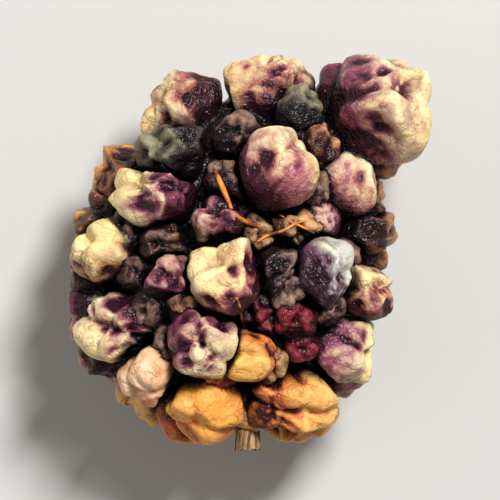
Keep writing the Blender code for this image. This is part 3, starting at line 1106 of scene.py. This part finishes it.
edges = read_all(skin.data.edges, "vertices", 2, np.int64)
places = read_all(skin.data.vertices, "co", 3)
normals = read_all(skin.data.vertices, "normal", 3)
ridge = np.zeros(len(places))
for times, scale in zip(RIDGE_SPREADS, RIDGE_SCALE):
    height = np.einsum("ij,ij->i", places - spread_out(places, edges, times), normals)
    ridge += np.clip(height / scale, -1, 1) / len(RIDGE_SPREADS)
keep_with_points(skin.data, "ridge", [(value,) for value in ridge])
print(f"ridge from {ridge.min():.2f} to {ridge.max():.2f}, middle {np.median(ridge):.2f}")

# %% Measure how open each point lies
# how open a point lies sets how much painted shade its colour gets in the gaps
LOOKS = 16
LOOK_REACH = 2.5 * MM
LOOK_START = 0.03 * MM
LOOK_LEVEL = 1.02

triangles = [tuple(face.vertices) for face in skin.data.polygons]
tree = BVHTree.FromPolygons(places.tolist(), triangles)
look_draw = random.Random(SEED + 2)
looks = [any_direction(look_draw) for _ in range(LOOKS)]
openness_for_painted_shade = []
for place, normal in zip(places, normals):
    start = Vector(place) + Vector(normal) * LOOK_START
    free = 0
    for look in looks:
        direction = (look + Vector(normal) * LOOK_LEVEL).normalized()
        if tree.ray_cast(start, direction, LOOK_REACH)[0] is None:
            free += 1
    openness_for_painted_shade.append(free / LOOKS)
openness_for_painted_shade = spread_out(np.array(openness_for_painted_shade)[:, None], edges, 1)
keep_with_points(skin.data, "openness_for_painted_shade", openness_for_painted_shade)
print("openness: middle", round(float(np.median(openness_for_painted_shade)), 2))

# %% [markdown]
# ## The finish of the skin
#
# The colours that the drupelets carry are mixed by how pale each point is, which holds both its dried
# colour and painted light. Ridges are paler, partly as dried cream and partly as a painted highlight, gaps
# get painted shade, and finer noise breaks the edges of the stains. The skin is leathery with a little
# gloss, uneven where sugar has dried on it, and has a fine grain that is too small to model.

# %% Short ways to make a material
# where the mix node has its share, its two colours and its result: its names stand for several sockets
MIX_COLOURS = (0, 6, 7)
MIX_RESULT = 2
NOISE_MIDDLE = 0.5


class Nodes:
    """Short ways to add and link the nodes of one material."""

    def __init__(self, name):
        self.material = bpy.data.materials.new(name)
        self.material.use_nodes = True
        self.tree = self.material.node_tree
        self.shader = self.tree.nodes["Principled BSDF"]

    def add(self, kind, settings=None, **links):
        node = self.tree.nodes.new(kind)
        for key, value in (settings or {}).items():
            setattr(node, key, value)
        for name, value in links.items():
            self.put(node.inputs[name.replace("_", " ")], value)
        return node

    def put(self, socket, value):
        if isinstance(value, bpy.types.NodeSocket):
            self.tree.links.new(value, socket)
        else:
            socket.default_value = value

    def attribute(self, name, output="Fac"):
        return self.add("ShaderNodeAttribute", {"attribute_name": name}).outputs[output]

    def math(self, operation, *values, clamp=False):
        node = self.add("ShaderNodeMath", {"operation": operation, "use_clamp": clamp})
        for socket, value in zip(node.inputs, values):
            self.put(socket, value)
        return node.outputs[0]

    def noise(self, scale, detail=3.0, roughness=0.55):
        place = self.add("ShaderNodeTexCoord").outputs["Object"]
        settings = {"Vector": place, "Scale": scale, "Detail": detail, "Roughness": roughness}
        return self.add("ShaderNodeTexNoise", **settings).outputs["Fac"]

    def smooth(self, value, low, high, to_low=0.0, to_high=1.0):
        node = self.add("ShaderNodeMapRange", {"interpolation_type": "SMOOTHSTEP"})
        for socket, put in zip(node.inputs, (value, low, high, to_low, to_high)):
            self.put(socket, put)
        return node.outputs[0]

    def mix(self, share, first, second, blend="MIX"):
        node = self.add("ShaderNodeMix", {"data_type": "RGBA", "blend_type": blend})
        for index, value in zip(MIX_COLOURS, (share, first, second)):
            self.put(node.inputs[index], value)
        return node.outputs[MIX_RESULT]

    def tinted(self, share, colour, tint):
        """The colour, multiplied by the tint in that share."""
        return self.mix(share, colour, self.mix(1.0, colour, tint, "MULTIPLY"))

    def swayed(self, value, pattern, share):
        """The value, raised where the pattern is high and lowered where it is low."""
        return self.math("MULTIPLY_ADD", self.math("SUBTRACT", pattern, NOISE_MIDDLE), share, value)

    def finish(self, **links):
        """Gives the shader its colour, roughness or other values."""
        for name, value in links.items():
            self.put(self.shader.inputs[name.replace("_", " ")], value)

    def relief(self, height, strength, depth):
        bump = self.add("ShaderNodeBump", Height=height, Strength=strength, Distance=depth)
        self.finish(Normal=bump.outputs["Normal"])


def cover(item, material):
    """Gives a piece its material, and leaves only that piece selected."""
    item.data.materials.clear()
    item.data.materials.append(material)
    select_only(item)


leather = Nodes("dried_mulberry_skin")
print("material begun:", leather.material.name)

# %% Colour of the skin
RIDGE_PALE_AND_HIGHLIGHT = 0.45
RIDGE_PALE_AND_HIGHLIGHT_WHERE_PALE = 0.12
PALE_SPECKLE = 0.9
PALE_BLOTCH = 0.7
SPECKLE_SCALE = 2600
BLOTCH_SCALE = 900
PURPLE_SCALE = 560
YELLOW_SCALE = 420
LINE_SCALE = 1500
RIDGES_FADE = (-0.2, 0.8)
DARK_TO_BETWEEN = (-0.60, 0.25)
BETWEEN_TO_PALE = (0.0, 1.15)
PURPLE_RANGE = (0.45, 0.60)
YELLOW_RANGE = (0.42, 0.62)
YELLOW_MOST = 0.8
LINE_RANGE = (0.35, 0.65)
LINE_SHARES = (0.15, 0.75)
LINE_SHARPNESS = 16.0
PAINTED_SHADE_OPEN_RANGE = (0.18, 0.80)
PAINTED_GAP_SHADE = linear((12, 5, 8))
YELLOWED = (0.98, 0.89, 0.68, 1.0)
PURPLED = (0.97, 0.80, 1.02, 1.0)
LINE_STAIN = (0.62, 0.42, 0.36, 1.0)

pale = leather.attribute("pale")
ridge_height = leather.attribute("ridge")
painted_shade_openness = leather.attribute("openness_for_painted_shade")
speckle = leather.noise(SPECKLE_SCALE, detail=4)
blotch = leather.noise(BLOTCH_SCALE, detail=3)

# ridges made paler, partly as dried cream and partly as a painted highlight along them
ridge_pale_and_highlight = leather.smooth(pale, *RIDGES_FADE, RIDGE_PALE_AND_HIGHLIGHT, RIDGE_PALE_AND_HIGHLIGHT_WHERE_PALE)
pale = leather.math("MULTIPLY_ADD", ridge_height, ridge_pale_and_highlight, pale)
pale = leather.swayed(pale, speckle, PALE_SPECKLE)
pale = leather.swayed(pale, blotch, PALE_BLOTCH)
dark_to_between = leather.smooth(pale, *DARK_TO_BETWEEN)
between_to_pale = leather.smooth(pale, *BETWEEN_TO_PALE)
purple_share = leather.smooth(leather.noise(PURPLE_SCALE, detail=2), *PURPLE_RANGE)
tone_between = leather.tinted(purple_share, leather.attribute("tone_between", "Color"), PURPLED)
colour = leather.mix(dark_to_between, leather.attribute("tone_dark", "Color"), tone_between)
yellow_noise = leather.noise(YELLOW_SCALE, detail=2)
yellow_share = leather.smooth(yellow_noise, *YELLOW_RANGE, 0.0, YELLOW_MOST)
tone_pale = leather.tinted(yellow_share, leather.attribute("tone_pale", "Color"), YELLOWED)
colour = leather.mix(between_to_pale, colour, tone_pale)
line_noise = leather.noise(LINE_SCALE, detail=3)
off_line = leather.math("ABSOLUTE", leather.math("SUBTRACT", line_noise, NOISE_MIDDLE))
line = leather.math("SUBTRACT", 1.0, leather.math("MULTIPLY", off_line, LINE_SHARPNESS, clamp=True))
line = leather.math("MULTIPLY", line, leather.smooth(blotch, *LINE_RANGE, *LINE_SHARES))
colour = leather.tinted(line, colour, LINE_STAIN)
# painted shade: the less open a point lies, the more its colour is mixed towards near-black
colour = leather.mix(leather.smooth(painted_shade_openness, *PAINTED_SHADE_OPEN_RANGE), PAINTED_GAP_SHADE, colour)
leather.finish(Base_Color=colour)
print("nodes for the colour:", len(leather.tree.nodes))

# %% Gloss and fine relief of the skin
PLUMP_RANGE = (-0.2, 0.7)
ROUGHNESS = (0.34, 0.50)
ROUGHNESS_SPECKLE = 0.6
SHINE = 0.34
CRINKLE_SCALE = 2600
CRINKLE_SHARES = (1.3, 0.45)
GRAIN_SCALE = 9000
GRAIN_SHARE = 0.25
LINE_GROOVE = 0.5
RELIEF_STRENGTH = 0.8
RELIEF_DEPTH = 0.12 * MM

plump = leather.smooth(pale, *PLUMP_RANGE)
roughness = leather.swayed(leather.smooth(plump, 0, 1, *ROUGHNESS), speckle, ROUGHNESS_SPECKLE)
leather.finish(Roughness=roughness, Specular_IOR_Level=SHINE)
crinkle_noise = leather.noise(CRINKLE_SCALE, detail=2)
crinkle = leather.math("ABSOLUTE", leather.math("MULTIPLY_ADD", crinkle_noise, 2.0, -1.0))
crinkle = leather.math("MULTIPLY", crinkle, leather.smooth(plump, 0, 1, *CRINKLE_SHARES))
grain = leather.noise(GRAIN_SCALE, detail=2)
height = leather.math("MULTIPLY_ADD", grain, GRAIN_SHARE, crinkle)
height = leather.math("SUBTRACT", height, leather.math("MULTIPLY", line, LINE_GROOVE))
leather.relief(height, RELIEF_STRENGTH, RELIEF_DEPTH)

cover(skin, leather.material)
bpy.ops.object.shade_smooth()
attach(skin, "root")
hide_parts("fruit")
print("skin finished:", leather.material.name)

# %% [markdown]
# ## The stalk
#
# The stalk is a stub that broke off when the fruit was picked. It dries to a shrunken bundle of fibres, so
# it has ridges along it, is thicker where it broke, and ends in splinters round a hollow pith. It is drawn
# out ring by ring from a small disc, as the real one grows, and then its rings are pushed in and out along
# each fibre.

# %% Draw out the stalk
STALK_INNER_Y = -5.0 * MM
STALK_OUTER_Y = -8.8 * MM
STALK_WIDTHS = (0.55, 0.56, 0.54, 0.51, 0.49, 0.48, 0.47, 0.48, 0.49, 0.52, 0.55, 0.58)
STALK_BEND = 0.2 * MM
STALK_SIDES = 44
# each ring of the hollow end: its width as a share of the end's radius, and how much deeper it lies, in mm
PITH_RINGS = ((0.30, 0.0), (0.25, 0.12), (0.40, 0.35))

bpy.ops.object.select_all(action="DESELECT")
bpy.ops.mesh.primitive_circle_add(
    vertices=STALK_SIDES,
    radius=STALK_WIDTHS[0] * MM,
    fill_type="NGON",
    location=Vector((STALK_X, STALK_INNER_Y, STALK_Z)) + TO_ORIGIN,
    rotation=(math.pi / 2, 0, 0),
)
stalk = bpy.context.object
stalk.name = "stalk_stub"
bpy.ops.object.transform_apply(location=True, rotation=True, scale=True)
steps = len(STALK_WIDTHS) - 1
step_y = (STALK_OUTER_Y - STALK_INNER_Y) / steps
bpy.ops.object.mode_set(mode="EDIT")
bpy.ops.mesh.select_mode(type="FACE")
bpy.ops.mesh.select_all(action="SELECT")
for step in range(steps):
    rise = STALK_BEND * ((step + 1) ** 2 - step ** 2) / steps ** 2
    centre_z = STALK_Z + STALK_BEND * ((step + 1) / steps) ** 2
    centre = Vector((STALK_X, STALK_INNER_Y + step_y * (step + 1), centre_z))
    widen = STALK_WIDTHS[step + 1] / STALK_WIDTHS[step]
    bpy.ops.mesh.extrude_region_move(TRANSFORM_OT_translate={"value": (0, step_y, rise)})
    bpy.ops.transform.resize(value=(widen, widen, widen), center_override=centre + TO_ORIGIN)
for share, depth in PITH_RINGS:
    bpy.ops.mesh.inset(thickness=share * STALK_WIDTHS[-1] * MM, depth=-depth * MM)
bpy.ops.mesh.poke()
bpy.ops.mesh.select_all(action="SELECT")
bpy.ops.mesh.normals_make_consistent(inside=False)
bpy.ops.object.mode_set(mode="OBJECT")
print("stalk:", len(stalk.data.polygons), "faces, rings of", STALK_SIDES)

# %% Fibres and splinters
FIBRES = 11
FIBRE_RELIEF = 0.10
FIBRE_LEVEL = 0.65
FIBRE_ROUNDNESS = 0.6
FIBRE_SWAY = 0.35
ROUGH_RELIEF = 0.05
SPLINTERS = 0.15 * MM
SPLINTER_LEVEL = 0.15
SPLINTERS_FROM = 0.97
PITH = 0.45
ON_AXIS = 0.01 * MM

middle = Vector((STALK_X, 0, STALK_Z)) + TO_ORIGIN
for vert in stalk.data.vertices:
    along = (vert.co.y - TO_ORIGIN.y - STALK_INNER_Y) / (STALK_OUTER_Y - STALK_INNER_Y)
    centre = middle + Vector((0, vert.co.y, STALK_BEND * along * along))
    offset = vert.co - centre
    offset.y = 0
    if offset.length < ON_AXIS:
        continue
    around = math.atan2(offset.z, offset.x)
    swing = around + FIBRE_SWAY * noise.noise(Vector((around, along * 2, 3)))
    fibre = abs(math.sin(swing * FIBRES / 2)) ** FIBRE_ROUNDNESS
    rough = noise.noise(Vector((math.cos(around) * 6, math.sin(around) * 6, along * 4)))
    vert.co += offset * (FIBRE_RELIEF * (fibre - FIBRE_LEVEL) + ROUGH_RELIEF * rough)
    if along > SPLINTERS_FROM and offset.length > PITH * STALK_WIDTHS[-1] * MM:
        jag = noise.noise(Vector((math.cos(around) * 4, math.sin(around) * 4, 7)))
        vert.co.y -= SPLINTERS * (SPLINTER_LEVEL + jag)
print("stalk from y =", round(min(v.co.y for v in stalk.data.vertices) / MM, 2), "mm")

# %% Stalk material
STRAW_DARK = linear((82, 52, 32))
STRAW_PALE = linear((178, 136, 86))
STRAW_STAINED = linear((64, 36, 26))
STREAK_STRETCH = (1.0, 0.12, 1.0)
STREAK_SCALE = 7000.0
STREAK_RANGE = (0.35, 0.65)
PATCH_SCALE = 1100
PATCH_RANGE = (0.50, 0.72)
STALK_ROUGHNESS = (0.3, 0.7, 0.85, 0.6)
STALK_RELIEF_STRENGTH = 0.7
STALK_RELIEF_DEPTH = 0.03 * MM
STALK_EDGES_FROM = math.radians(50)

wood = Nodes("dried_stalk_fibre")
place = wood.add("ShaderNodeTexCoord").outputs["Object"]
drawn_out = wood.add("ShaderNodeMapping", Vector=place, Scale=STREAK_STRETCH).outputs["Vector"]
streaks = wood.add("ShaderNodeTexNoise", Vector=drawn_out, Scale=STREAK_SCALE, Detail=4.0).outputs["Fac"]
patches = wood.noise(PATCH_SCALE, detail=3)
straw = wood.mix(wood.smooth(streaks, *STREAK_RANGE), STRAW_DARK, STRAW_PALE)
straw = wood.mix(wood.smooth(patches, *PATCH_RANGE), straw, STRAW_STAINED)
wood.finish(Base_Color=straw, Roughness=wood.smooth(streaks, *STALK_ROUGHNESS))
wood.relief(streaks, STALK_RELIEF_STRENGTH, STALK_RELIEF_DEPTH)
cover(stalk, wood.material)
bpy.ops.object.shade_smooth_by_angle(angle=STALK_EDGES_FROM)
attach(stalk, "root")
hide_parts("stalk")
print("stalk finished:", wood.material.name)

# %% [markdown]
# ## Threads of the flowers
#
# Each drupelet was one flower, and its two styles dry to thin orange-brown threads. Most break off, and a
# few stay caught on the skin. A thread is a curve that lies on the folds: its route is walked over the
# form, and at each step a straight line dropped onto the skin tells how high the skin stands there.

# %% Routes of the threads
THREAD_RADIUS = (0.045 * MM, 0.065 * MM)
THREAD_STEP = 0.20 * MM
THREAD_START_HEIGHT = 3 * MM
THREAD_COUNT = 16
THREAD_STEPS = (7, 11)
THREAD_CURL = 0.35
CURL_CHANGE = 0.15
LEAST_PLACES = 6
HIDDEN_THREADS_BELOW_Z = 7.0 * MM
THREADS_ABOVE_Z = 0.3 * MM
ABOVE_THE_FRUIT = 9 * MM
BETWEEN_TURNS = (0, 0.33, 0.67)
# thickness, then the places that the thread passes, as seen from above
SHOWN_THREADS = [
    (0.13, [(-0.60, 3.40), (-0.35, 2.80), (-0.10, 2.25), (0.15, 1.6)]),
    (0.11, [(0.30, 1.5), (0.65, 1.25), (1.05, 1.1), (1.45, 1.0)]),
    (0.07, [(1.2, 0.35), (1.7, 0.75), (2.3, 0.8), (2.9, 1.2), (3.6, 1.35)]),
    (0.06, [(2.2, 1.55), (2.7, 1.2), (3.3, 1.0), (3.9, 0.6)]),
    (0.06, [(0.3, -2.1), (0.5, -2.6), (0.45, -3.1), (0.8, -3.5)]),
]


def drop_onto_skin(start, out):
    """The place where a line that goes straight in from above the start meets the skin."""
    return tree.ray_cast(start + out * THREAD_START_HEIGHT, -out)[0]


def shown_route(turns):
    """A route over the upper side, through places as seen from above."""
    up = Vector((0, 0, 1))
    route = []
    for turn, next_turn in zip(turns, turns[1:]):
        for share in BETWEEN_TURNS:
            flat = Vector(turn).lerp(Vector(next_turn), share) * MM
            hit = drop_onto_skin(Vector((*flat, ABOVE_THE_FRUIT)) + TO_ORIGIN, up)
            if hit:
                route.append((hit, up))
    return route


def walked_route(draw):
    """A curling route over the form, from the tip of a random drupelet on the hidden sides."""
    drupelet = draw.choice([one for one in drupelets if one.middle.z < HIDDEN_THREADS_BELOW_Z])
    place = on_form(drupelet.middle, 0)
    heading = straight_out(place).orthogonal().normalized()
    heading.rotate(Matrix.Rotation(draw.uniform(0, math.tau), 3, straight_out(place)))
    curl = draw.uniform(-THREAD_CURL, THREAD_CURL)
    route = []
    for _ in range(draw.randint(*THREAD_STEPS)):
        out = straight_out(place)
        hit = drop_onto_skin(place + TO_ORIGIN, out)
        if hit is None or not THREADS_ABOVE_Z < hit.z < HIDDEN_THREADS_BELOW_Z:
            break
        route.append((hit, out))
        turned = curl + draw.uniform(-CURL_CHANGE, CURL_CHANGE)
        heading.rotate(Matrix.Rotation(turned, 3, out))
        heading = (heading - out * heading.dot(out)).normalized()
        place = on_form(place + heading * THREAD_STEP, 0)
    return route


thread_draw = random.Random(SEED + 4)
routes = [(thickness * MM, shown_route(turns)) for thickness, turns in SHOWN_THREADS]
for _ in range(THREAD_COUNT):
    routes.append((thread_draw.uniform(*THREAD_RADIUS), walked_route(thread_draw)))
routes = [(radius, route) for radius, route in routes if len(route) >= LEAST_PLACES]
print("routes long enough for a thread:", len(routes))

# %% Model the threads
MIDDLE_ABOVE_SKIN = 0.6
STIFFENING_ROUNDS = 6
BRIDGES_HOLLOWS = 0.5
ROUNDS_RIDGES = 0.12
TAPER_FROM = 0.15
TAPER_OVER = 0.8


def stiffened(route, radius):
    """The thread's own places: it bridges narrow hollows, because it is too stiff to follow them."""
    line = [hit + out * radius * MIDDLE_ABOVE_SKIN for hit, out in route]
    for _ in range(STIFFENING_ROUNDS):
        for index in range(1, len(line) - 1):
            between = (line[index - 1] + line[index + 1]) / 2
            lift = (between - line[index]).dot(route[index][1])
            line[index] = line[index].lerp(between, BRIDGES_HOLLOWS if lift > 0 else ROUNDS_RIDGES)
    return line


def make_thread(number, line, radius):
    curve = bpy.data.curves.new(f"thread_{number:02d}", "CURVE")
    curve.dimensions = "3D"
    curve.bevel_depth = radius
    curve.bevel_resolution = 1
    curve.use_fill_caps = True
    spline = curve.splines.new("NURBS")
    spline.points.add(len(line) - 1)
    for index, (point, place) in enumerate(zip(spline.points, line)):
        point.co = (*place, 1)
        along = TAPER_FROM + TAPER_OVER * index / (len(line) - 1)
        point.radius = 0.5 + 0.5 * math.sin(math.pi * along)
    spline.use_endpoint_u = True
    spline.order_u = 3
    spline.resolution_u = 3
    thread = bpy.data.objects.new(curve.name, curve)
    bpy.context.scene.collection.objects.link(thread)
    return thread


bpy.ops.object.select_all(action="DESELECT")
threads = []
for number, (radius, route) in enumerate(routes):
    threads.append(make_thread(number, stiffened(route, radius), radius))
    threads[-1].select_set(True)
bpy.context.view_layer.objects.active = threads[0]
bpy.ops.object.convert(target="MESH")
bpy.ops.object.join()
styles = bpy.context.object
styles.name = "flower_threads"
print("threads:", len(threads), "with", len(styles.data.polygons), "faces")

# %% Thread material
RUST = linear((132, 66, 30))
ORANGE = linear((244, 150, 58))
THREAD_TINT_SCALE = 1300
THREAD_TINT_RANGE = (0.38, 0.62)
THREAD_ROUGHNESS = (0.3, 0.7, 0.65, 0.45)

dry = Nodes("dried_thread")
tint = dry.noise(THREAD_TINT_SCALE, detail=2)
rust_to_orange = dry.mix(dry.smooth(tint, *THREAD_TINT_RANGE), RUST, ORANGE)
dry.finish(Base_Color=rust_to_orange, Roughness=dry.smooth(tint, *THREAD_ROUGHNESS))
cover(styles, dry.material)
bpy.ops.object.shade_smooth()
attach(styles, "root")
print("threads finished:", dry.material.name)
